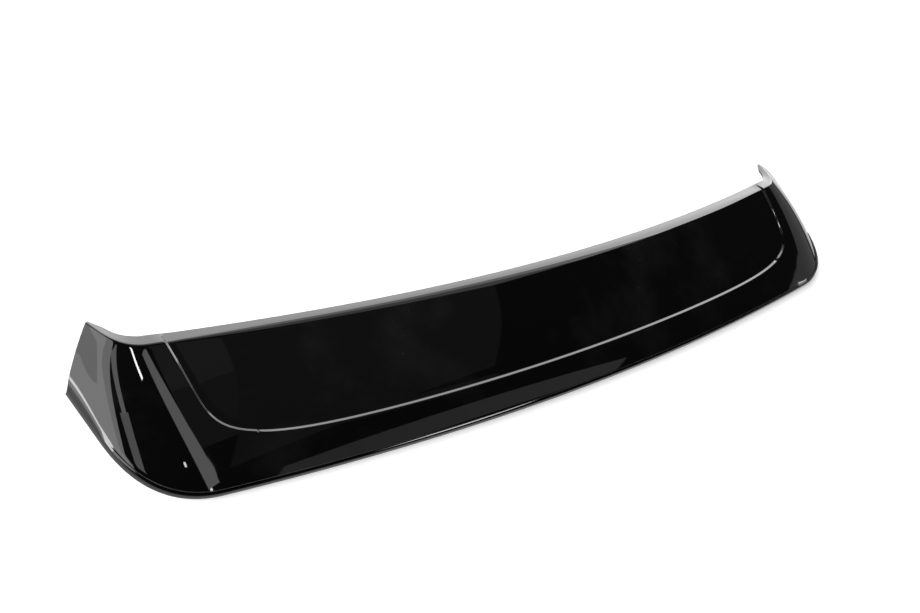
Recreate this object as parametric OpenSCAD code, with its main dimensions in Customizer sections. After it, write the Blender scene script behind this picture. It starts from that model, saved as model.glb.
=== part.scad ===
// Rear spoiler, one thin moulded shell lying on its lower rim.
// X runs across the vehicle, +Y forward to the leading edge, +Z up.
// The origin is in the middle of the footprint, on the plane of the rim.

/* [Blade] */
// Half width of the leading edge at its corners
half_width = 650; // [500:5:800]
// Depth from the trailing edge to the leading edge, on the centreline
blade_depth = 168; // [140:1:220]
// Height of the leading edge above the rim plane, on the centreline
lead_height = 62; // [45:1:80]
// How far the leading edge runs forward from its middle to its corners
lead_bow = 45; // [20:1:60]
// Fall of the leading edge plane towards the front, in degrees
lead_fall = 16; // [8:1:20]
// How far the trailing edge runs forward from its middle to its corners
trail_bow = 36; // [20:1:60]
// Rise of the crowned section above a straight line between the edges
crown = 6; // [2:0.5:12]

/* [Corners] */
// How far the trailing corner stands outside the leading corner
trail_corner_out = 36; // [25:1:60]
// Length of the leading corner curve along the blade
lead_corner_blade = 29; // [26:1:40]
// Length of the leading corner curve along the fin
lead_corner_fin = 36; // [30:1:42]
// Length of the trailing corner curve along the blade
trail_corner_blade = 88; // [60:1:120]
// Length of the trailing corner curve along the fin
trail_corner_fin = 96; // [60:1:120]

/* [Fins] */
// How far the fin tip stands outside the leading corner
fin_tip_out = 16; // [5:1:30]
// How far the fin tip lies in front of the blade's middle
fin_tip_ahead = 95; // [80:1:110]
// How far the fin foot stands outside the trailing corner
fin_foot_out = 23; // [10:1:35]
// How far the fin foot lies in front of the blade's middle
fin_foot_ahead = 33; // [15:1:50]
// Height of the ridge that stiffens the lower part of the fin
ridge_height = 3; // [1:0.5:5]
// Distance of the ridge from the lower edge, at the front of the fin
ridge_rise = 16; // [10:1:24]

/* [Recess] */
// How far the recessed panel ends inside the leading corner
recess_margin = 54; // [48:1:150]
// Width of the rim between the panel and the trailing edge
rim_width = 50; // [40:1:80]
// How far the panel lies below the rim around it
recess_sink = 2.5; // [1:0.5:4]
// Width of the step between the rim and the panel
recess_step = 4.5; // [3:0.5:8]
// How square the corners of the panel are
recess_squareness = 8; // [5:1:12]

/* [Edges] */
// Wall thickness of the moulding
wall = 3.5; // [2.5:0.1:4.5]
// Height of the upright lip under the trailing edge
lip_height = 6; // [5:0.5:10]
// Radius at the top of the lip
lip_round = 3.5; // [2.5:0.25:4.5]
// Length of the nose curve on each side of the leading edge, along the blade
nose_round = 8; // [4:0.5:9]
// Length of the same curve along the fins
fin_nose_round = 2.5; // [1.5:0.25:2.75]
// Radius inside the folds of the wall
fold_round = 0.5; // [0.3:0.1:0.8]
// Width of the bonding flange on the centreline
flange_width = 12; // [10:0.5:16]
// Width of the bonding flange at the corners
flange_corner_width = 16; // [10:0.5:19]
// Width of the bonding flange at the fin tips
flange_tip_width = 3.5; // [3:0.5:8]
// Slope of the bonding flange, in degrees
flange_slope = 18; // [10:1:40]

/* [Mesh] */
// Stations across half of the panel
panel_stations = 15; // [8:1:18]
// Stations round each corner
corner_stations = 11; // [6:1:13]
// Stations along each fin
fin_stations = 5; // [3:1:7]
// Rows of faces along the panel
panel_rows = 6; // [4:1:7]

/* [Hidden] */

trail_half_width = half_width + trail_corner_out;
fin_tip = [half_width + fin_tip_out, blade_depth + fin_tip_ahead];
fin_foot = [trail_half_width + fin_foot_out, blade_depth + fin_foot_ahead];
lead_span = half_width - lead_corner_blade;
section_length = norm([blade_depth, lead_height - lip_height]);
fin_front_length = norm([fin_foot[0] - fin_tip[0], fin_tip[1] - fin_foot[1], tip_height() - lip_height]);
recess_u = (half_width - recess_margin) / lead_span;
recess_v = 1 - rim_width / section_length;
step_u = recess_step / lead_span;
step_v = recess_step / section_length;
// Distance outside the recess at which the grid is no longer drawn round, as a share of the rim
relax_share = 0.88;
relax_width = relax_share * rim_width;
// Place of the ridge line in the rim, as a share of the rim's width
ridge_share_blade = 0.85;
ridge_share_fin = 1 - (ridge_rise / fin_front_length) / (1 - recess_v - step_v);
// The ridge fades in from the trailing corner to the front of the fin
ridge_start = 1.2;
ridge_full = 2.8;
// Half width of the ridge's blunt top, as a share of its flank
ridge_blunt = 0.15;
// Station from which the nose curve shortens towards the corner
nose_fade = 0.7;
// Station from which the flange tapers towards the fin tip
flange_fade = 1.4;
// Small steps in u and v: to measure a direction, and to stay off an edge
probe = 0.001;
edge_inset = 0.005;

function mix(a, b, t) = a + (b - a) * t;
function clamp(x) = min(max(x, 0), 1);
function ease(x) = let (c = clamp(x)) c * c * (3 - 2 * c);
function unit(v) = v / norm(v);
function curve(a, k, b, t) = (1 - t) * (1 - t) * a + 2 * t * (1 - t) * k + t * t * b;
function drop(p, z) = [p[0], p[1], z];

// Plan view of an edge: u runs 0 to 1 along the blade, to 2 round the corner, to 3 along the fin
function edge_plan(u, width, y0, bow, in_len, out_len, end) =
    let (span = width - in_len,
         a = [span, y0 + bow * pow(span / half_width, 2)],
         k = [width, a[1] + 2 * bow * span / pow(half_width, 2) * in_len],
         b = k + unit(end - k) * out_len)
    u < 1 ? [u * span, y0 + bow * pow(u * span / half_width, 2)]
    : u < 2 ? curve(a, k, b, u - 1)
    : mix(b, end, u - 2);
function lead_level(y) = lead_height - tan(lead_fall) * (y - blade_depth);
function tip_height() = lead_level(fin_tip[1]);
function lead_edge(u) =
    let (p = edge_plan(u, half_width, blade_depth, lead_bow, lead_corner_blade, lead_corner_fin, fin_tip))
    drop(p, lead_level(p[1]));
function trail_edge(u) =
    let (p = edge_plan(u, trail_half_width, 0, trail_bow, trail_corner_blade, trail_corner_fin, fin_foot))
    drop(p, lip_height);
function edge_run(u) = let (d = lead_edge(u + probe) - lead_edge(max(u - probe, 0))) unit(d);
function trail_run(u) = let (d = trail_edge(u + probe) - trail_edge(max(u - probe, 0))) unit(d);
function half_run(u) = edge_run(u) + trail_run(u);

// Distance outside the recess outline, zero inside it
function outside(u, v) = max((u - recess_u) * lead_span, (v - recess_v) * section_length, 0);
// Pulls the square corner of the recess round
function rounding(u, v) =
    let (a = min(u / recess_u, 1),
         b = min(v / recess_v, 1),
         k = max(a, b, probe) / pow(pow(max(a, probe), recess_squareness)
             + pow(max(b, probe), recess_squareness), 1 / recess_squareness),
         fade = 1 - ease((outside(u, v) - recess_step) / (relax_width - recess_step)))
    1 - (1 - k) * fade;
function ridge_fade(u) = ease((u - ridge_start) / (ridge_full - ridge_start));
function ridge_line(u) =
    let (s = recess_v + step_v)
    mix(s, 1, mix(ridge_share_blade, ridge_share_fin, ridge_fade(u)));
// Height of the ridge, a rounded tent over the ridge line
function ridge(u, v) =
    let (r = ridge_line(u),
         a = v / r,
         b = (1 - v) / (1 - r),
         s = max(1 - abs(a - b) / ridge_blunt, 0))
    ridge_height * ridge_fade(u) * (min(a, b) - s * s * ridge_blunt / 4);
// The painted skin, u across and v from the leading to the trailing edge
function skin_half(u, v) =
    let (k = rounding(u, v),
         uu = u * k,
         vv = v * k,
         a = lead_edge(uu),
         b = trail_edge(uu),
         n0 = unit(cross(half_run(uu), a - b)),
         n = n0[2] < 0 ? -n0 : n0,
         sink = recess_sink * (1 - ease(outside(u, v) / recess_step)))
    mix(a, b, vv) + n * (crown * 4 * vv * (1 - vv) - sink + ridge(uu, vv));
function mirrored(p) = [-p[0], p[1], p[2]];
function skin(u, v) = u < 0 ? mirrored(skin_half(-u, v)) : skin_half(u, v);
function skin_normal(u, v) =
    let (du = skin(u + probe, v) - skin(u - probe, v),
         dv = skin(u, v + probe) - skin(u, v - probe))
    unit(cross(dv, du));

// Sharp folds of the wall, moved in by the wall thickness for the inner face
function across(t, u) = let (d = unit([-t[1], t[0], 0])) u < 0 ? mirrored(d) : d;
function inward(u) = across(edge_run(abs(u)), u);
function outward(u) = -across(trail_run(abs(u)), u);
function flange_dir(u) = inward(u) * cos(flange_slope) - [0, 0, sin(flange_slope)];
function flange_normal(u) = inward(u) * sin(flange_slope) + [0, 0, cos(flange_slope)];
function fold(n1, n2) = -(n1 + n2) / (1 + n1 * n2);
function fold_reach(n1, n2) = sqrt((1 - n1 * n2) / (1 + n1 * n2));
function flange_reach(u) =
    let (w = abs(u))
    w < 1 ? mix(flange_width, flange_corner_width, w * w)
    : mix(flange_corner_width, flange_tip_width, clamp((w - flange_fade) / (3 - flange_fade)));
function nose(u) = mix(nose_round, fin_nose_round, ease((abs(u) - nose_fade) / (1 - nose_fade)));

// Overall depth, from the trailing edge to the end of the flange at the fin tips
total_depth = fin_tip[1] + flange_dir(3)[1] * flange_tip_width;

// Lines of the skin between its two edges, as values of v
panel_lines = [for (i = [1 : panel_rows]) i / panel_rows];
step_lines = [0.25, 0.5, 0.75, 1];
// Across the rim: 1 is the ridge line, 2 the trailing edge
rim_lines = [0.3, 0.6, 0.85, 1, 1.5];
curve_lines = [0, 0.2, 0.4, 0.6, 0.8, 1];
inner_lines = [
    for (t = panel_lines) recess_v * t,
    for (t = step_lines) recess_v + step_v * t
];
function rim_line(u, t) =
    let (r = ridge_line(abs(u)))
    t < 1 ? mix(recess_v + step_v, r, t) : mix(r, 1, t - 1);
function all_but_first(list) = [for (i = [1 : len(list) - 1]) list[i]];
function all_but_last(list) = [for (i = [0 : len(list) - 2]) list[i]];

// One section of the wall at station u: off is 0 for the outer face, the wall for the inner one
function section(u, off) =
    let (n_lead = skin_normal(u, edge_inset),
         n_trail = skin_normal(u, 1 - edge_inset),
         n_flange = flange_normal(u),
         out = outward(u),
         size = norm(skin(u, 1) - skin(u, 0)),
         r_lead = max(nose(u) - fold_reach(n_lead, n_flange) * off, fold_round),
         r_lip = off == 0 ? lip_round : fold_round,
         top = skin(u, 0) + fold(n_lead, n_flange) * off,
         bottom = skin(u, 1) + fold(n_trail, out) * off,
         start = (r_lead + fold_reach(n_lead, n_flange) * off) / size,
         stop = 1 - (r_lip + fold_reach(n_trail, out) * off) / size,
         lines = concat([start], inner_lines, [for (t = rim_lines) rim_line(u, t)], [stop]),
         face = [for (v = lines) skin(u, v) - skin_normal(u, v) * off],
         flange_start = top + flange_dir(u) * r_lead,
         flange_end = skin(u, 0) + flange_dir(u) * flange_reach(u) - n_flange * off,
         lip_start = bottom - [0, 0, r_lip])
    concat(
        [flange_end],
        [for (t = all_but_last(curve_lines)) curve(flange_start, top, face[0], t)],
        face,
        [for (t = all_but_first(curve_lines)) curve(face[len(face) - 1], bottom, lip_start, t)],
        [drop(bottom, 0)]);

half_stations = [
    for (i = [1 : panel_stations]) recess_u * i / panel_stations,
    for (t = step_lines) recess_u + step_u * t,
    for (i = [1 : corner_stations]) mix(1, 2, (i - 1) / corner_stations),
    for (i = [0 : fin_stations]) mix(2, 3, i / fin_stations)
];
last = len(half_stations) - 1;
stations = concat([for (i = [last : -1 : 0]) -half_stations[i]], [0], half_stations);

// Closed skin through rings of points, with flat caps of strips at both ends
module loft(rings) {
    ring = len(rings[0]);
    rows = len(rings);
    half = ring / 2;
    middle = (rows - 1) / 2;
    points = [for (r = rings) each r];
    sides = [
        for (i = [0 : rows - 2], j = [0 : ring - 1])
            let (a = i * ring + j,
                 b = i * ring + (j + 1) % ring,
                 c = a + ring,
                 d = b + ring)
            each (i < middle ? [[a, d, b], [a, c, d]] : [[a, c, b], [b, c, d]])
    ];
    caps = [
        for (j = [0 : half - 2])
            let (a = j,
                 b = j + 1,
                 c = ring - 1 - j,
                 d = ring - 2 - j,
                 e = (rows - 1) * ring)
            each [[a, b, c], [b, d, c], [e + a, e + c, e + b], [e + b, e + c, e + d]]
    ];
    polyhedron(points, concat(sides, caps), convexity = 8);
}

module spoiler_shell() {
    rings = [
        for (u = stations)
            let (inner = section(u, wall))
            concat(section(u, 0), [for (j = [len(inner) - 1 : -1 : 0]) inner[j]])
    ];
    color([0.03, 0.03, 0.035])
        translate([0, -total_depth / 2, 0])
            loft(rings);
}

spoiler_shell();
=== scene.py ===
"""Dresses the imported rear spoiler: one gloss black moulded shell, its paint, and a plain pale studio.

The shell is a Geometry Nodes loft between two edge lines, so every size in the panel reshapes it.
Lengths are in metres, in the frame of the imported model: X across, +Y forward, Z up.
"""

import math

import bpy
from mathutils import Matrix, Quaternion, Vector


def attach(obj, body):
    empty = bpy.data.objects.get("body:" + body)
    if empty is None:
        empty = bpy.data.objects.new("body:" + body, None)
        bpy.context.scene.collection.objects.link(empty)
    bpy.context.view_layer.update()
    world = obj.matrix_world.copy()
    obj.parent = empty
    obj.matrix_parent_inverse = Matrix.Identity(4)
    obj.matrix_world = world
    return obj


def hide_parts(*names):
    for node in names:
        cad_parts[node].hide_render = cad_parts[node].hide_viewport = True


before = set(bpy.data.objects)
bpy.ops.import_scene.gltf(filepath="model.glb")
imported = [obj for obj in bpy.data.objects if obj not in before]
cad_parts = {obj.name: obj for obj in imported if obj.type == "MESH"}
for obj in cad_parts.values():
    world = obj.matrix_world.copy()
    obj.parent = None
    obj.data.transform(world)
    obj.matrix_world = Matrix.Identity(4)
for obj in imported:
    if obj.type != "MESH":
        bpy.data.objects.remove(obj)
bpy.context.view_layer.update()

bl_info = {
    "name": "Rear spoiler",
    "version": (1, 0, 0),
    "blender": (4, 5, 0),
    "location": "View3D > Sidebar > Spoiler",
    "description": "Builds a moulded rear spoiler, its gloss black paint and a pale studio",
    "category": "Object",
}

SHELL_NODE = "spoiler_shell"
INNER_FACE = "inner_face"
FLOOR_HALF = 30.0

# The rule's fixed places and shares, the same as in the moulding's CAD source
PROBE = 0.004
RIDGE_FADE = (1.2, 2.8)
RIDGE_SHARE = 0.85
RIDGE_BLUNT = 0.15
NOSE_FADE = 0.7
FLANGE_FADE = 1.4
RELAX_SHARE = 0.88

# How far the step of the recess may turn, as a slope, before it reaches the corner
RECESS_TURN = 0.75
# Run of the flange over which the sink of the recess fades out at its free edge
FLANGE_BLEND = 0.03
# How fast the turned step gives way to the rim outside it
TURN_FADE = 6.0
# The smallest share that is raised to a power, and the distance at which two points are one
SMALLEST_SHARE = 0.001
WELD = 1e-6
# The broken edge: its segments, and how sharp an edge has to be to get one
BEVEL_SEGMENTS = 2
BEVEL_ANGLE = math.radians(50.0)

# Segments of the sheet across one half: panel, step, corner land, corner, fin
ACROSS = (40, 14, 8, 52, 46)
# Segments of the sheet along a section: flange, leading fold, panel, step, rim to ridge, ridge to edge, lip fold, lip
ALONG = (8, 8, 22, 14, 16, 8, 8, 4)

# The paint: its index of refraction, and the scale, detail and roughness of each noise with the range it is read over
PAINT_IOR = 1.5
HAZE_NOISE, HAZE_RANGE = (9.0, 5.0, 0.55), (0.52, 0.8)
SPECK_NOISE, SPECK_RANGE = (420.0, 0.0), (0.77, 0.82)
SPECK_HAZE_RANGE = (0.4, 0.7)
PEEL_NOISE = (40.0, 1.0)

# Places on the object that the softboxes are turned to
LEFT_FIN = (-0.68, 0.05, 0.03)
LEFT_PANEL = (-0.5, 0.0, 0.03)
RIGHT_FIN = (0.63, 0.0, 0.03)

# The camera, fitted to the object's outline. Width and focal length are in picture points
PICTURE_WIDTH = 920.0
FOCAL_LENGTH = 1300.0
SENSOR_WIDTH = 36.0
CAMERA_PLACE = (-1.33034, -0.51152, 1.20712)
CAMERA_RIGHT = (0.71281513, -0.51847602, 0.47231050)
CAMERA_DOWN = (-0.20423136, -0.79769054, -0.56743225)
CAMERA_FORWARD = (0.67095763, 0.30801367, -0.67449495)

# Spacing of the nodes in the editor
NODE_COLUMN = 220
NODE_ROW = 180


def length(name, description, default, low=0.0, high=2.0):
    """A length in metres, shown in the scene's unit."""
    return bpy.props.FloatProperty(
        name=name, description=description, default=default, min=low, max=high, precision=4,
        subtype="DISTANCE", unit="LENGTH",
    )


def share(name, description, default, high=1.0):
    """A plain number from nothing up."""
    return bpy.props.FloatProperty(
        name=name, description=description, default=default, min=0.0, max=high, precision=4,
    )


def angle(name, description, degrees):
    """An angle, given here in degrees and kept in radians."""
    return bpy.props.FloatProperty(
        name=name, description=description, default=math.radians(degrees), subtype="ANGLE", unit="ROTATION",
    )


def colour(name, description, default):
    """A linear colour."""
    return bpy.props.FloatVectorProperty(
        name=name, description=description, default=default, size=3, min=0.0, max=1.0, subtype="COLOR",
    )


class SpoilerForm(bpy.types.PropertyGroup):
    """Sizes of the moulding."""

    half_width: length("Half width", "Half width of the leading edge at its corners", 0.650)
    blade_depth: length("Blade depth", "From the trailing edge to the leading edge, on the centreline", 0.168)
    lead_height: length("Leading height", "Height of the leading edge above the rim plane, on the centreline", 0.062)
    lead_bow: length("Leading bow", "How far the leading edge runs forward from its middle to its corners", 0.045)
    lead_fall: angle("Leading fall", "Fall of the leading edge plane towards the front", 16.0)
    trail_bow: length("Trailing bow", "How far the trailing edge runs forward from its middle to its corners", 0.036)
    crown: length("Crown", "Rise of the section above a straight line between the edges", 0.006)
    trail_corner_out: length(
        "Trailing corner out", "How far the trailing corner stands outside the leading corner", 0.036,
    )
    lead_corner_blade: length("Leading corner, blade", "Length of the leading corner along the blade", 0.029)
    lead_corner_fin: length("Leading corner, fin", "Length of the leading corner along the fin", 0.036)
    trail_corner_blade: length("Trailing corner, blade", "Length of the trailing corner along the blade", 0.088)
    trail_corner_fin: length("Trailing corner, fin", "Length of the trailing corner along the fin", 0.096)
    fin_tip_out: length("Fin tip out", "How far the fin tip stands outside the leading corner", 0.016)
    fin_tip_ahead: length("Fin tip ahead", "How far the fin tip lies in front of the blade's middle", 0.095)
    fin_foot_out: length("Fin foot out", "How far the fin foot stands outside the trailing corner", 0.023)
    fin_foot_ahead: length("Fin foot ahead", "How far the fin foot lies in front of the blade's middle", 0.033)
    ridge_height: length("Ridge height", "Height of the ridge that stiffens the lower part of the fin", 0.003)
    ridge_rise: length("Ridge rise", "Distance of the ridge from the lower edge, at the front of the fin", 0.016)
    recess_margin: length("Recess margin", "How far the recessed panel ends inside the leading corner", 0.054)
    rim_width: length("Rim width", "Width of the rim between the panel and the trailing edge", 0.050)
    recess_sink: length("Recess sink", "How far the panel lies below the rim around it", 0.0025)
    recess_step: length("Recess step", "Width of the step between the rim and the panel", 0.0045)
    recess_squareness: share("Recess squareness", "How square the corners of the panel are", 8.0, 20.0)
    wall: length("Wall", "Wall thickness of the moulding", 0.0035)
    lip_height: length("Lip height", "Height of the upright lip under the trailing edge", 0.006)
    lip_round: length("Lip round", "Radius at the top of the lip", 0.0035)
    nose_round: length("Nose round", "Length of the nose curve each side of the leading edge, along the blade", 0.008)
    fin_nose_round: length("Fin nose round", "Length of the same curve along the fins", 0.0025)
    flange_width: length("Flange width", "Width of the bonding flange on the centreline", 0.012)
    flange_corner_width: length("Flange corner width", "Width of the bonding flange at the corners", 0.016)
    flange_tip_width: length("Flange tip width", "Width of the bonding flange at the fin tips", 0.0035)
    flange_slope: angle("Flange slope", "Slope of the bonding flange", 18.0)
    rim_bevel: length("Edge bevel", "Broken edge round the wall's free ends", 0.0006)


class SpoilerPaint(bpy.types.PropertyGroup):
    """The gloss black paint and the bare inside of the moulding."""

    paint_colour: colour("Paint", "Colour of the paint", (0.0012, 0.0012, 0.0013))
    dust_colour: colour("Haze", "Colour of the faint dust and wiping haze on the paint", (0.0060, 0.0060, 0.0065))
    speck_colour: colour("Specks", "Colour of the specks of dust in the haze", (0.035, 0.035, 0.036))
    inside_colour: colour("Inside", "Colour of the unpainted inner face", (0.012, 0.012, 0.0125))
    gloss_roughness: share("Paint roughness", "Roughness of the clean paint", 0.02)
    haze_roughness: share("Haze roughness", "Roughness where the paint is hazed", 0.05)
    inside_roughness: share("Inside roughness", "Roughness of the unpainted inner face", 0.55)
    peel_depth: length("Orange peel", "Depth of the gentle waves that sprayed paint keeps", 0.00001)


class SpoilerStudio(bpy.types.PropertyGroup):
    """Floor, lamps and surroundings."""

    floor_colour: colour("Floor", "Colour of the floor and the backdrop", (0.8, 0.8, 0.8))
    surround: share("Surround", "Level of the dim studio round the lamps", 0.03)
    floor_glow: share("Floor glow", "How much the floor by the object glows, to show near white", 0.3)
    far_glow: share("Far floor glow", "The same for the floor far away, which the lamps don't reach", 0.95)
    glow_near: length("Glow from", "Distance from the object at which the floor begins to glow more", 1.5, 0.0, 30.0)
    glow_far: length("Glow to", "Distance from the object at which it glows in full", 5.0, 0.0, 30.0)
    ceiling: length("Ceiling height", "Height of the lamps that hang level over the object", 3.0, 1.0, 20.0)
    side_level: share("Side softbox", "Radiance of the large softbox at the left", 4.3, 50.0)
    front_level: share("Front softbox", "Radiance of the softbox ahead of the leading edge", 4.5, 50.0)
    strip_level: share("Strip lights", "Radiance of the overhead strip lights", 1.9, 50.0)
    spot_level: share("Bare lamps", "Radiance of the small bare lamps", 25.0, 100.0)


# Terms: sums of a node tree, written as sums


def feed(tree, socket, value):
    """Links a term to a socket, or writes a plain value on it."""
    if isinstance(value, Term):
        tree.links.new(value.socket, socket)
    else:
        socket.default_value = value


def tree_of(values):
    """The tree that the terms among some values belong to."""
    return next(value.tree for value in values if isinstance(value, Term))


def number(operation, *values):
    """A Math node."""
    tree = tree_of(values)
    node = tree.nodes.new("ShaderNodeMath")
    node.operation = operation
    for socket, value in zip(node.inputs, values):
        feed(tree, socket, value)
    return Term(node.outputs[0])


def vector(operation, *values):
    """A Vector Math node."""
    tree = tree_of(values)
    node = tree.nodes.new("ShaderNodeVectorMath")
    node.operation = operation
    feed(tree, node.inputs[0], values[0])
    if operation == "SCALE":
        feed(tree, node.inputs["Scale"], values[1])
    elif len(values) > 1:
        feed(tree, node.inputs[1], values[1])
    return Term(node.outputs["Value" if operation == "LENGTH" else "Vector"])


class Term:
    """A number or a vector of a node tree. Arithmetic on terms adds the nodes that work it out."""

    def __init__(self, socket):
        self.socket = socket
        self.tree = socket.id_data
        self.is_vector = socket.type == "VECTOR"

    def __add__(self, other):
        return (vector if self.is_vector else number)("ADD", self, other)

    def __radd__(self, other):
        return self + other

    def __sub__(self, other):
        return (vector if self.is_vector else number)("SUBTRACT", self, other)

    def __rsub__(self, other):
        return number("SUBTRACT", other, self)

    def __mul__(self, other):
        if self.is_vector:
            return vector("SCALE", self, other)
        if isinstance(other, Term) and other.is_vector:
            return vector("SCALE", other, self)
        return number("MULTIPLY", self, other)

    def __rmul__(self, other):
        return self * other

    def __truediv__(self, other):
        return number("DIVIDE", self, other)

    def __rtruediv__(self, other):
        return number("DIVIDE", other, self)

    def __pow__(self, other):
        return number("POWER", self, other)


def mix(a, b, t):
    """From a at t 0 to b at t 1."""
    return a + (b - a) * t


def ramp(value, low, high):
    """0 below low, 1 above high, straight between."""
    tree = tree_of((value, low, high))
    node = tree.nodes.new("ShaderNodeMapRange")
    for socket, term in zip(node.inputs, (value, low, high)):
        feed(tree, socket, term)
    return Term(node.outputs[0])


def ease(value):
    """A smooth step from 0 to 1."""
    held = ramp(value, 0.0, 1.0)
    return held * held * (3.0 - 2.0 * held)


def curve(a, k, b, t):
    """A point on the curve that leaves a towards k and reaches b from k."""
    return mix(mix(a, k, t), mix(k, b, t), t)


def unit(value):
    """The direction of a vector."""
    return vector("NORMALIZE", value)


def point(tree, x=0.0, y=0.0, z=0.0):
    """A vector from three numbers."""
    node = tree.nodes.new("ShaderNodeCombineXYZ")
    for socket, value in zip(node.inputs, (x, y, z)):
        feed(tree, socket, value)
    return Term(node.outputs[0])


def parts_of(value):
    """The three numbers of a vector."""
    node = value.tree.nodes.new("ShaderNodeSeparateXYZ")
    feed(value.tree, node.inputs[0], value)
    return [Term(socket) for socket in node.outputs]


def new_tree(name, inputs, outputs):
    """An empty Geometry Nodes tree. Returns it, its inputs as terms by name, and its output node."""
    tree = bpy.data.node_groups.new(name, "GeometryNodeTree")
    for label, kind in inputs:
        tree.interface.new_socket(name=label, in_out="INPUT", socket_type=kind)
    for label, kind in outputs:
        tree.interface.new_socket(name=label, in_out="OUTPUT", socket_type=kind)
    entry = tree.nodes.new("NodeGroupInput")
    terms = {label: Term(entry.outputs[label]) for label, kind in inputs}
    return tree, terms, tree.nodes.new("NodeGroupOutput")


def place(tree, group, values):
    """A group placed in a tree and fed by name. Returns its outputs as terms."""
    node = tree.nodes.new("GeometryNodeGroup")
    node.node_tree = group
    for label, value in values.items():
        feed(tree, node.inputs[label], value)
    return [Term(socket) for socket in node.outputs if socket.enabled]


def lay_out(tree):
    """Sets the nodes in columns, each to the right of what feeds it."""
    depth = {node: 0 for node in tree.nodes}
    for _ in range(len(tree.nodes)):
        moved = False
        for link in tree.links:
            if depth[link.to_node] <= depth[link.from_node]:
                depth[link.to_node] = depth[link.from_node] + 1
                moved = True
        if not moved:
            break
    rows = {}
    for node, column in depth.items():
        rows[column] = rows.get(column, -1) + 1
        node.location = (column * NODE_COLUMN, -rows[column] * NODE_ROW)


# The shell's rule

FLOAT = "NodeSocketFloat"
VECTOR = "NodeSocketVector"
EDGE_INPUTS = ("Place", "Width", "Start", "Bow", "Bow width", "Blade part", "Fin part")


def edge_line_tree():
    """Plan view of an edge: the place runs 0 to 1 along the blade, to 2 round the corner, to 3 along the fin."""
    tree, term, output = new_tree(
        "Spoiler edge line", [(label, FLOAT) for label in EDGE_INPUTS] + [("End", VECTOR)], [("Plan", VECTOR)]
    )
    u = term["Place"]
    span = term["Width"] - term["Blade part"]
    bend = term["Bow"] / (term["Bow width"] * term["Bow width"])
    along = ramp(u, -1.0, 1.0) * 2.0 * span - span
    blade = point(tree, along, term["Start"] + bend * along * along)
    rise = term["Start"] + bend * span * span
    a = point(tree, span, rise)
    k = point(tree, term["Width"], rise + 2.0 * bend * span * term["Blade part"])
    b = k + unit(term["End"] - k) * term["Fin part"]
    corner = curve(a, k, b, ramp(u, 1.0, 2.0)) - a
    fin = (term["End"] - b) * ramp(u, 2.0, 3.0)
    feed(tree, output.inputs["Plan"], blade + corner + fin)
    lay_out(tree)
    return tree


def labels():
    """Property name to the label that the panel and the node trees show."""
    return {name: prop.keywords["name"] for name, prop in SpoilerForm.__annotations__.items()}


def sizes_of(terms):
    """The sizes of a tree as terms, by property name."""
    return {name: terms[label] for name, label in labels().items() if label in terms}


def section_tree(edge_line):
    """Both edges at a place, the direction that the skin faces there, and the plan run of the leading edge."""
    tree, term, output = new_tree(
        "Spoiler section",
        [("Place", FLOAT)] + [(label, FLOAT) for label in labels().values()],
        [("Lead", VECTOR), ("Trail", VECTOR), ("Up", VECTOR), ("Run", VECTOR)],
    )
    size = sizes_of(term)
    trail_width = size["half_width"] + size["trail_corner_out"]
    tip = point(tree, size["half_width"] + size["fin_tip_out"], size["blade_depth"] + size["fin_tip_ahead"])
    foot = point(tree, trail_width + size["fin_foot_out"], size["blade_depth"] + size["fin_foot_ahead"])
    slope = number("TANGENT", size["lead_fall"])

    def edges(u):
        lead = place(tree, edge_line, {
            "Place": u, "Width": size["half_width"], "Start": size["blade_depth"], "Bow": size["lead_bow"],
            "Bow width": size["half_width"], "Blade part": size["lead_corner_blade"],
            "Fin part": size["lead_corner_fin"], "End": tip,
        })[0]
        trail = place(tree, edge_line, {
            "Place": u, "Width": trail_width, "Start": 0.0, "Bow": size["trail_bow"],
            "Bow width": size["half_width"], "Blade part": size["trail_corner_blade"],
            "Fin part": size["trail_corner_fin"], "End": foot,
        })[0]
        ahead = parts_of(lead)[1] - size["blade_depth"]
        return lead + point(tree, z=size["lead_height"] - slope * ahead), trail + point(tree, z=size["lip_height"])

    lead, trail = edges(term["Place"])
    ahead_lead, ahead_trail = edges(term["Place"] + PROBE)
    behind_lead, behind_trail = edges(term["Place"] - PROBE)
    run = ahead_lead - behind_lead
    up = unit(vector("CROSS_PRODUCT", run + (ahead_trail - behind_trail), lead - trail))
    for label, value in (("Lead", lead), ("Trail", trail), ("Up", up), ("Run", run)):
        feed(tree, output.inputs[label], value)
    lay_out(tree)
    return tree


def knots(term, counts, values):
    """Runs through values in steps whose shares of the way are the segment counts."""
    total, done, result = sum(counts), 0, values[0]
    for count, low, high in zip(counts, values, values[1:]):
        result = result + (high - low) * ramp(term, done / total, (done + count) / total)
        done += count
    return result


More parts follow.
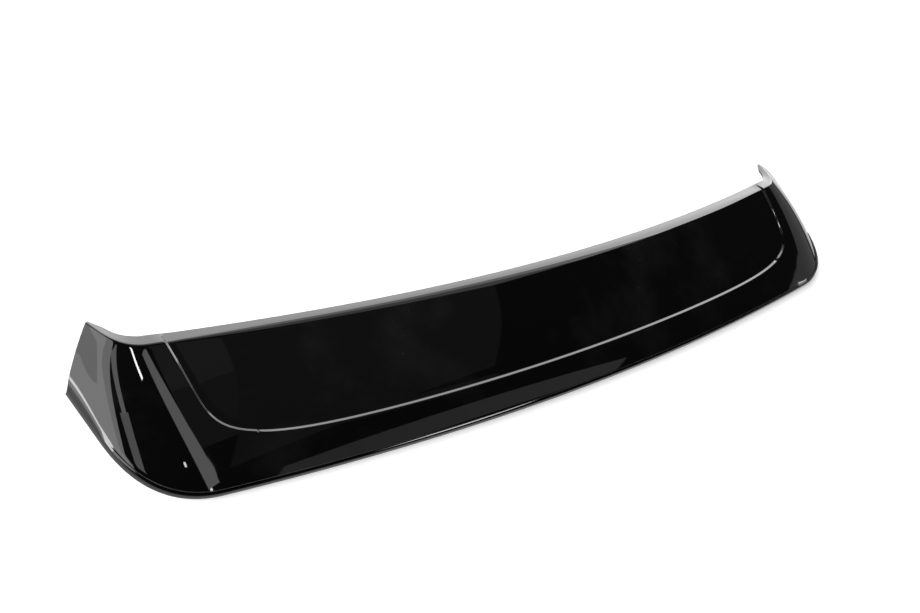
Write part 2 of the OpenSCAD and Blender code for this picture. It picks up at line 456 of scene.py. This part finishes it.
def shell_tree(section, paint):
    """The whole moulding: a grid bent to the rule, given its wall, closed, shaded and painted."""
    tree, term, output = new_tree(
        "Spoiler shell", [(label, FLOAT) for label in labels().values()], [("Geometry", "NodeSocketGeometry")]
    )
    size = sizes_of(term)
    sizes = {label: term[label] for label in labels().values()}
    nodes, links = tree.nodes, tree.links

    grid = nodes.new("GeometryNodeMeshGrid")
    grid.inputs["Size X"].default_value = 2.0
    grid.inputs["Size Y"].default_value = 2.0
    grid.inputs["Vertices X"].default_value = 2 * sum(ACROSS) + 1
    grid.inputs["Vertices Y"].default_value = sum(ALONG) + 1
    across, along, _ = parts_of(Term(nodes.new("GeometryNodeInputPosition").outputs[0]))
    side = number("SIGN", across)

    # Places of the recess in the rule's own measures
    lead_span = size["half_width"] - size["lead_corner_blade"]
    section_length = vector(
        "LENGTH", point(tree, size["blade_depth"], size["lead_height"] - size["lip_height"])
    )
    recess_u = (size["half_width"] - size["recess_margin"]) / lead_span
    recess_v = 1.0 - size["rim_width"] / section_length
    step_u = size["recess_step"] / lead_span
    step_v = size["recess_step"] / section_length
    u = knots(number("ABSOLUTE", across), ACROSS, (0.0, recess_u, recess_u + step_u, 1.0, 2.0, 3.0))

    # Shares of the way down the section
    t = along * 0.5 + 0.5
    total, done, parts = sum(ALONG), 0, []
    for count in ALONG:
        parts.append(ramp(t, done / total, (done + count) / total))
        done += count
    flange_part, fold_part, panel_part, step_part, rise_part, fall_part, lip_fold_part, lip_part = parts

    # Ridge line of the fin
    rim = 1.0 - recess_v - step_v
    fin_front = vector("LENGTH", point(
        tree, size["trail_corner_out"] + size["fin_foot_out"] - size["fin_tip_out"],
        size["fin_tip_ahead"] - size["fin_foot_ahead"],
        size["lead_height"] - number("TANGENT", size["lead_fall"]) * size["fin_tip_ahead"] - size["lip_height"],
    ))
    ridge_share = 1.0 - size["ridge_rise"] / fin_front / rim

    def ridge_fade(u):
        return ease(ramp(u, *RIDGE_FADE))

    def ridge_line(u):
        return recess_v + step_v + rim * mix(RIDGE_SHARE, ridge_share, ridge_fade(u))

    crest = ridge_line(u)
    v = (
        recess_v * panel_part + step_v * step_part + (crest - recess_v - step_v) * rise_part
        + (1.0 - crest) * fall_part
    )

    def outside(u, v):
        past_u = number("MAXIMUM", (u - recess_u) * lead_span, 0.0)
        past_v = number("MAXIMUM", (v - recess_v) * section_length, 0.0)
        return vector("LENGTH", point(tree, past_u, past_v))

    # The edges at this station, the bottom of the leading fold and the top of the lip
    lead, trail, up, run = place(tree, section, {"Place": u, **sizes})
    sink_here = size["recess_sink"] * (1.0 - ease(outside(u, 0.0) / size["recess_step"]))
    top = lead - up * sink_here
    chord = vector("LENGTH", trail - top)
    nose = mix(size["nose_round"], size["fin_nose_round"], ease(ramp(u, NOSE_FADE, 1.0)))
    v = number("MINIMUM", number("MAXIMUM", v, nose / chord), 1.0 - size["lip_round"] / chord)

    # The skin at u, v, with the recess drawn round at its corners
    away = outside(u, v)
    a = number("MAXIMUM", number("MINIMUM", u / recess_u, 1.0), SMALLEST_SHARE)
    b = number("MAXIMUM", number("MINIMUM", v / recess_v, 1.0), SMALLEST_SHARE)
    power = size["recess_squareness"]
    tight = number("MAXIMUM", a, b) / (a ** power + b ** power) ** (1.0 / power)
    relax = size["rim_width"] * RELAX_SHARE
    fade = 1.0 - ease((away - size["recess_step"]) / (relax - size["recess_step"]))
    keep = 1.0 - (1.0 - tight) * fade
    turn = number("MINIMUM", recess_u * lead_span / (recess_v * section_length) * b ** (power - 1.0), RECESS_TURN)
    straight = 1.0 / (1.0 + turn * turn) ** 0.5
    past_end = (u - recess_u) * lead_span
    shove = number("MINIMUM", number("MAXIMUM", past_end, 0.0), size["recess_step"]) * fade ** TURN_FADE
    uu = u * keep - shove * (1.0 - straight) / lead_span
    vv = v * keep + shove * turn * straight / section_length
    skin_lead, skin_trail, skin_up, _ = place(tree, section, {"Place": uu, **sizes})
    sink = size["recess_sink"] * (1.0 - ease(away / size["recess_step"]))
    near = ridge_line(uu)
    rise, fall = vv / near, (1.0 - vv) / (1.0 - near)
    overlap = number("MAXIMUM", RIDGE_BLUNT - number("ABSOLUTE", rise - fall), 0.0)
    tent = number("MINIMUM", rise, fall) - overlap * overlap * (0.25 / RIDGE_BLUNT)
    lift = size["crown"] * 4.0 * vv * (1.0 - vv) - sink + size["ridge_height"] * ridge_fade(uu) * tent
    skin = mix(skin_lead, skin_trail, vv) + skin_up * lift

    # Flange ahead of the skin, upright lip behind it
    def flange_direction(run):
        run_x, run_y, _ = parts_of(run)
        inward = unit(point(tree, 0.0 - run_y, run_x))
        slope = size["flange_slope"]
        return inward * number("COSINE", slope) - point(tree, z=number("SINE", slope))

    flange_dir = flange_direction(run)
    blade_part = ramp(u, 0.0, 1.0)
    reach = mix(
        mix(size["flange_width"], size["flange_corner_width"], blade_part * blade_part),
        size["flange_tip_width"], ramp(u, FLANGE_FADE, 3.0),
    )
    folded = curve(top + flange_dir * nose, top, skin, fold_part)
    past_middle = past_end - size["recess_step"] * 0.5
    sink_ahead = size["recess_sink"] * (1.0 - ease(past_middle / FLANGE_BLEND + 0.5))
    far = 1.0 - flange_part
    flanged = folded + flange_dir * ((reach - nose) * far) + up * ((sink_here - sink_ahead) * far)
    lip_start = trail - point(tree, z=size["lip_round"])
    lipped = curve(flanged, trail, lip_start, lip_fold_part)
    sheet_point = lipped - point(tree, z=(size["lip_height"] - size["lip_round"]) * lip_part)

    # Mirrored, and centred on its footprint
    x, y, z = parts_of(sheet_point)
    end_dir = flange_direction(place(tree, section, {"Place": 3.0, **sizes})[3])
    depth = size["blade_depth"] + size["fin_tip_ahead"] + parts_of(end_dir * size["flange_tip_width"])[1]
    placed = point(tree, x * side, y - depth / 2.0, z)
    bend = nodes.new("GeometryNodeSetPosition")
    links.new(grid.outputs["Mesh"], bend.inputs["Geometry"])
    feed(tree, bend.inputs["Position"], placed)

    # The wall: the sheet drawn inwards by its normals, closed by the sheet turned over
    thicken = nodes.new("GeometryNodeExtrudeMesh")
    thicken.inputs["Individual"].default_value = False
    links.new(bend.outputs["Geometry"], thicken.inputs["Mesh"])
    feed(tree, thicken.inputs["Offset Scale"], size["wall"])
    mark = nodes.new("GeometryNodeStoreNamedAttribute")
    mark.data_type, mark.domain = "FLOAT", "FACE"
    mark.inputs["Name"].default_value = INNER_FACE
    mark.inputs["Value"].default_value = 1.0
    links.new(thicken.outputs["Mesh"], mark.inputs["Geometry"])
    links.new(thicken.outputs["Top"], mark.inputs["Selection"])
    flip = nodes.new("GeometryNodeFlipFaces")
    links.new(bend.outputs["Geometry"], flip.inputs["Mesh"])
    join = nodes.new("GeometryNodeJoinGeometry")
    links.new(mark.outputs["Geometry"], join.inputs["Geometry"])
    links.new(flip.outputs["Mesh"], join.inputs["Geometry"])
    weld = nodes.new("GeometryNodeMergeByDistance")
    weld.inputs["Distance"].default_value = WELD
    links.new(join.outputs["Geometry"], weld.inputs["Geometry"])
    smooth = nodes.new("GeometryNodeSetShadeSmooth")
    links.new(weld.outputs["Geometry"], smooth.inputs["Geometry"])
    real = nodes.new("GeometryNodeRealizeInstances")
    links.new(smooth.outputs["Geometry"], real.inputs["Geometry"])
    coat = nodes.new("GeometryNodeSetMaterial")
    coat.inputs["Material"].default_value = paint
    links.new(real.outputs["Geometry"], coat.inputs["Geometry"])
    links.new(coat.outputs["Geometry"], output.inputs["Geometry"])
    lay_out(tree)
    return tree


# Finishes


def add_shader(tree, kind, **settings):
    """A shader tree's node with its settings."""
    node = tree.nodes.new(kind)
    for name, value in settings.items():
        setattr(node, name, value)
    return node


def paint_material(paint):
    """Gloss black paint outside, bare moulded plastic inside."""
    material = bpy.data.materials.new("Gloss black paint")
    material.use_nodes = True
    tree = material.node_tree
    shader = tree.nodes["Principled BSDF"]
    shader.inputs["IOR"].default_value = PAINT_IOR
    where = Term(add_shader(tree, "ShaderNodeTexCoord").outputs["Object"])
    inside = Term(add_shader(tree, "ShaderNodeAttribute", attribute_name=INNER_FACE).outputs["Fac"])

    def noise(scale, detail, roughness=0.5):
        node = add_shader(tree, "ShaderNodeTexNoise")
        feed(tree, node.inputs["Vector"], where)
        node.inputs["Scale"].default_value = scale
        node.inputs["Detail"].default_value = detail
        node.inputs["Roughness"].default_value = roughness
        return Term(node.outputs["Fac"])

    def over(below, above, share_above):
        node = add_shader(tree, "ShaderNodeMix", data_type="RGBA")
        feed(tree, node.inputs["Factor"], share_above)
        if isinstance(below, bpy.types.NodeSocket):
            tree.links.new(below, node.inputs["A"])
        else:
            node.inputs["A"].default_value = (*below, 1.0)
        node.inputs["B"].default_value = (*above, 1.0)
        return node.outputs["Result"]

    haze = ramp(noise(*HAZE_NOISE), *HAZE_RANGE)
    specks = ramp(noise(*SPECK_NOISE), *SPECK_RANGE) * ramp(haze, *SPECK_HAZE_RANGE)
    tone = over(over(paint.paint_colour, paint.dust_colour, haze), paint.speck_colour, specks)
    tree.links.new(over(tone, paint.inside_colour, inside), shader.inputs["Base Color"])
    roughness = mix(mix(paint.gloss_roughness, paint.haze_roughness, haze), paint.inside_roughness, inside)
    feed(tree, shader.inputs["Roughness"], roughness)
    peel = add_shader(tree, "ShaderNodeBump")
    peel.inputs["Distance"].default_value = paint.peel_depth
    feed(tree, peel.inputs["Height"], noise(*PEEL_NOISE))
    tree.links.new(peel.outputs["Normal"], shader.inputs["Normal"])
    lay_out(tree)
    return material


def floor_material(studio):
    """A pale floor that shows near white to the camera and keeps the object's shadow."""
    material = bpy.data.materials.new("Pale floor")
    material.use_nodes = True
    tree = material.node_tree
    tree.nodes.clear()
    diffuse = add_shader(tree, "ShaderNodeBsdfDiffuse")
    diffuse.inputs["Color"].default_value = (*studio.floor_colour, 1.0)
    glow = add_shader(tree, "ShaderNodeEmission")
    path = add_shader(tree, "ShaderNodeLightPath")
    seen = number("MAXIMUM", Term(path.outputs["Is Camera Ray"]), Term(path.outputs["Is Glossy Ray"]))
    seen = number("MAXIMUM", seen, Term(path.outputs["Is Transmission Ray"]))
    away = vector("LENGTH", Term(add_shader(tree, "ShaderNodeTexCoord").outputs["Object"]))
    level = mix(studio.floor_glow, studio.far_glow, ease(ramp(away, studio.glow_near, studio.glow_far)))
    feed(tree, glow.inputs["Strength"], seen * level)
    total = add_shader(tree, "ShaderNodeAddShader")
    tree.links.new(diffuse.outputs[0], total.inputs[0])
    tree.links.new(glow.outputs[0], total.inputs[1])
    output = add_shader(tree, "ShaderNodeOutputMaterial")
    tree.links.new(total.outputs[0], output.inputs["Surface"])
    lay_out(tree)
    return material


class SPOILER_OT_shell(bpy.types.Operator):
    """Builds the moulded shell in its paint"""

    bl_idname = "spoiler.shell"
    bl_label = "Spoiler shell"

    def execute(self, context):
        form = context.scene.spoiler_form
        tree = shell_tree(section_tree(edge_line_tree()), paint_material(context.scene.spoiler_paint))
        draft = bpy.data.objects.new("spoiler_draft", bpy.data.meshes.new("spoiler_draft"))
        context.scene.collection.objects.link(draft)
        loft = draft.modifiers.new("Shell", "NODES")
        loft.node_group = tree
        for name, label in labels().items():
            loft[tree.interface.items_tree[label].identifier] = getattr(form, name)
        rounding = draft.modifiers.new("Broken edges", "BEVEL")
        rounding.width = form.rim_bevel
        rounding.segments = BEVEL_SEGMENTS
        rounding.limit_method = "ANGLE"
        rounding.angle_limit = BEVEL_ANGLE
        context.view_layer.update()
        mesh = bpy.data.meshes.new_from_object(draft.evaluated_get(context.evaluated_depsgraph_get()))
        bpy.data.objects.remove(draft)
        mesh.name = "spoiler_moulding"
        shell = bpy.data.objects.new("spoiler_moulding", mesh)
        context.scene.collection.objects.link(shell)
        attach(shell, "root")
        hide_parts(SHELL_NODE)
        return {"FINISHED"}


def lamp(scene, name, radiance, wide, tall, place, turn):
    """A rectangular lamp of even radiance, which shines along its own -Z."""
    data = bpy.data.lights.new(name, "AREA")
    data.shape = "RECTANGLE"
    data.size, data.size_y = wide, tall
    data.energy = radiance * math.pi * wide * tall
    item = bpy.data.objects.new(name, data)
    item.location = place
    item.rotation_mode = "QUATERNION"
    item.rotation_quaternion = turn
    scene.collection.objects.link(item)


def softbox(scene, name, radiance, azimuth, elevation, distance, wide, tall, aim=(0.0, 0.0, 0.0)):
    """A softbox turned to the aim, at an azimuth from +Y towards +X and an elevation in degrees."""
    a, e = math.radians(azimuth), math.radians(elevation)
    away = Vector((math.sin(a) * math.cos(e), math.cos(a) * math.cos(e), math.sin(e)))
    lamp(scene, name, radiance, wide, tall, Vector(aim) + away * distance, away.to_track_quat("Z", "Y"))


def strip(scene, name, radiance, start, end, width):
    """A level strip light under the ceiling, between two points of its plan."""
    a, b = Vector(start), Vector(end)
    run = b - a
    turn = Quaternion((0.0, 0.0, 1.0), math.atan2(run.y, run.x))
    middle = ((a + b) / 2.0).to_3d() + Vector((0.0, 0.0, scene.spoiler_studio.ceiling))
    lamp(scene, name, radiance, run.length, width, middle, turn)


class SPOILER_OT_stage(bpy.types.Operator):
    """Sets the floor, the lamps, the surroundings and the camera"""

    bl_idname = "spoiler.stage"
    bl_label = "Studio"

    def execute(self, context):
        scene, studio = context.scene, context.scene.spoiler_studio
        scene.view_settings.view_transform = "Standard"

        corners = [(x * FLOOR_HALF, y * FLOOR_HALF, 0.0) for x, y in ((-1, -1), (1, -1), (1, 1), (-1, 1))]
        mesh = bpy.data.meshes.new("floor")
        mesh.from_pydata(corners, [], [(0, 1, 2, 3)])
        mesh.materials.append(floor_material(studio))
        floor = bpy.data.objects.new("floor", mesh)
        scene.collection.objects.link(floor)

        world = bpy.data.worlds.new("Studio") if scene.world is None else scene.world
        scene.world = world
        world.use_nodes = True
        tree = world.node_tree
        tree.nodes.clear()
        dim = add_shader(tree, "ShaderNodeBackground")
        dim.inputs["Strength"].default_value = studio.surround
        bright = add_shader(tree, "ShaderNodeBackground")
        bright.inputs["Color"].default_value = (1.0, 1.0, 1.0, 1.0)
        # White to the eye. The gloss paint mirrors the dim studio, as it does in the photo
        path = add_shader(tree, "ShaderNodeLightPath")
        blend = add_shader(tree, "ShaderNodeMixShader")
        seen = number("MAXIMUM", Term(path.outputs["Is Camera Ray"]), Term(path.outputs["Is Transmission Ray"]))
        feed(tree, blend.inputs[0], seen)
        tree.links.new(dim.outputs[0], blend.inputs[1])
        tree.links.new(bright.outputs[0], blend.inputs[2])
        output = add_shader(tree, "ShaderNodeOutputWorld")
        tree.links.new(blend.outputs[0], output.inputs["Surface"])

        side, front, over, bare = studio.side_level, studio.front_level, studio.strip_level, studio.spot_level
        softbox(scene, "Side softbox", side, -54.0, 29.25, 4.0, 8.0, 4.48, LEFT_FIN)
        softbox(scene, "Side softbox, top", side * 0.72, -54.0, 61.75, 4.0, 7.0, 0.45, LEFT_FIN)
        softbox(scene, "Side lamp", side * 2.4, -78.0, 14.0, 3.5, 1.8, 1.1, LEFT_FIN)
        softbox(scene, "Front softbox", front, 46.0, 20.0, 5.0, 4.6, 2.9)
        softbox(scene, "Front spill", front * 0.4, 46.0, 40.0, 5.0, 4.6, 0.9)
        softbox(scene, "Right haze", front * 0.07, 93.0, 16.0, 4.4, 3.0, 1.8, RIGHT_FIN)
        softbox(scene, "Right lamp", front * 0.5, 72.0, 9.0, 5.0, 0.8, 1.0, LEFT_PANEL)
        softbox(scene, "Front haze", front * 0.15, 46.0, 50.0, 5.0, 4.6, 0.9)
        strip(scene, "Left strip, front", over * 1.1, (-1.36, 1.30), (-1.62, 0.10), 0.26)
        strip(scene, "Left strip, rear", over * 0.85, (-1.64, 0.12), (-1.90, -0.95), 0.52)
        strip(scene, "Long strip", over, (0.27, 0.62), (0.75, -1.32), 0.34)
        strip(scene, "Bare lamp", bare, (-0.48, 0.85), (-0.26, 0.30), 0.08)
        strip(scene, "Small lamp", bare * 0.6, (0.12, -0.95), (0.19, -0.95), 0.07)
        strip(scene, "Small lamp, rear", bare * 0.6, (0.62, -1.35), (0.69, -1.35), 0.07)
        strip(scene, "Near wall glow", over * 0.08, (0.81, 0.80), (0.81, 0.05), 0.30)
        strip(scene, "Near wall glow, rear", over * 0.045, (0.81, 0.05), (0.81, -0.75), 0.30)
        strip(scene, "Wall glow", over * 0.032, (0.96, -0.05), (2.60, -0.05), 2.2)
        strip(scene, "Rear strip", over * 0.18, (1.25, -1.58), (4.10, -2.06), 0.28)
        strip(scene, "Rear lamp", bare * 0.5, (2.85, -2.20), (2.85, -3.40), 0.9)
        strip(scene, "Rear lamp, right", bare * 0.2, (6.40, -1.45), (6.65, -1.40), 0.10)

        camera = bpy.data.objects.new("Camera", bpy.data.cameras.new("Camera"))
        camera.data.sensor_width = SENSOR_WIDTH
        camera.data.lens = SENSOR_WIDTH * FOCAL_LENGTH / PICTURE_WIDTH
        turn = Matrix((Vector(CAMERA_RIGHT), -Vector(CAMERA_DOWN), -Vector(CAMERA_FORWARD))).transposed()
        camera.matrix_world = Matrix.Translation(CAMERA_PLACE) @ turn.to_4x4()
        scene.collection.objects.link(camera)
        scene.camera = camera
        return {"FINISHED"}


class SPOILER_PT_panel(bpy.types.Panel):
    """Sizes, paint and studio of the spoiler, with a button for each step"""

    bl_idname = "SPOILER_PT_panel"
    bl_label = "Rear spoiler"
    bl_space_type = "VIEW_3D"
    bl_region_type = "UI"
    bl_category = "Spoiler"

    def draw(self, context):
        scene, layout = context.scene, self.layout
        for operator, group in (
            (SPOILER_OT_shell, scene.spoiler_form),
            (None, scene.spoiler_paint),
            (SPOILER_OT_stage, scene.spoiler_studio),
        ):
            box = layout.box()
            for name in type(group).__annotations__:
                box.prop(group, name)
            if operator:
                box.operator(operator.bl_idname)


CLASSES = (SpoilerForm, SpoilerPaint, SpoilerStudio, SPOILER_OT_shell, SPOILER_OT_stage, SPOILER_PT_panel)


def register():
    """Registers the classes and hangs the settings on the scene."""
    for cls in CLASSES:
        bpy.utils.register_class(cls)
    bpy.types.Scene.spoiler_form = bpy.props.PointerProperty(type=SpoilerForm)
    bpy.types.Scene.spoiler_paint = bpy.props.PointerProperty(type=SpoilerPaint)
    bpy.types.Scene.spoiler_studio = bpy.props.PointerProperty(type=SpoilerStudio)


def unregister():
    """Takes the settings and the classes away."""
    del bpy.types.Scene.spoiler_form
    del bpy.types.Scene.spoiler_paint
    del bpy.types.Scene.spoiler_studio
    for cls in reversed(CLASSES):
        bpy.utils.unregister_class(cls)


def main():
    """Builds everything, in order."""
    register()
    bpy.ops.spoiler.stage()
    bpy.ops.spoiler.shell()


if __name__ == "__main__":
    main()
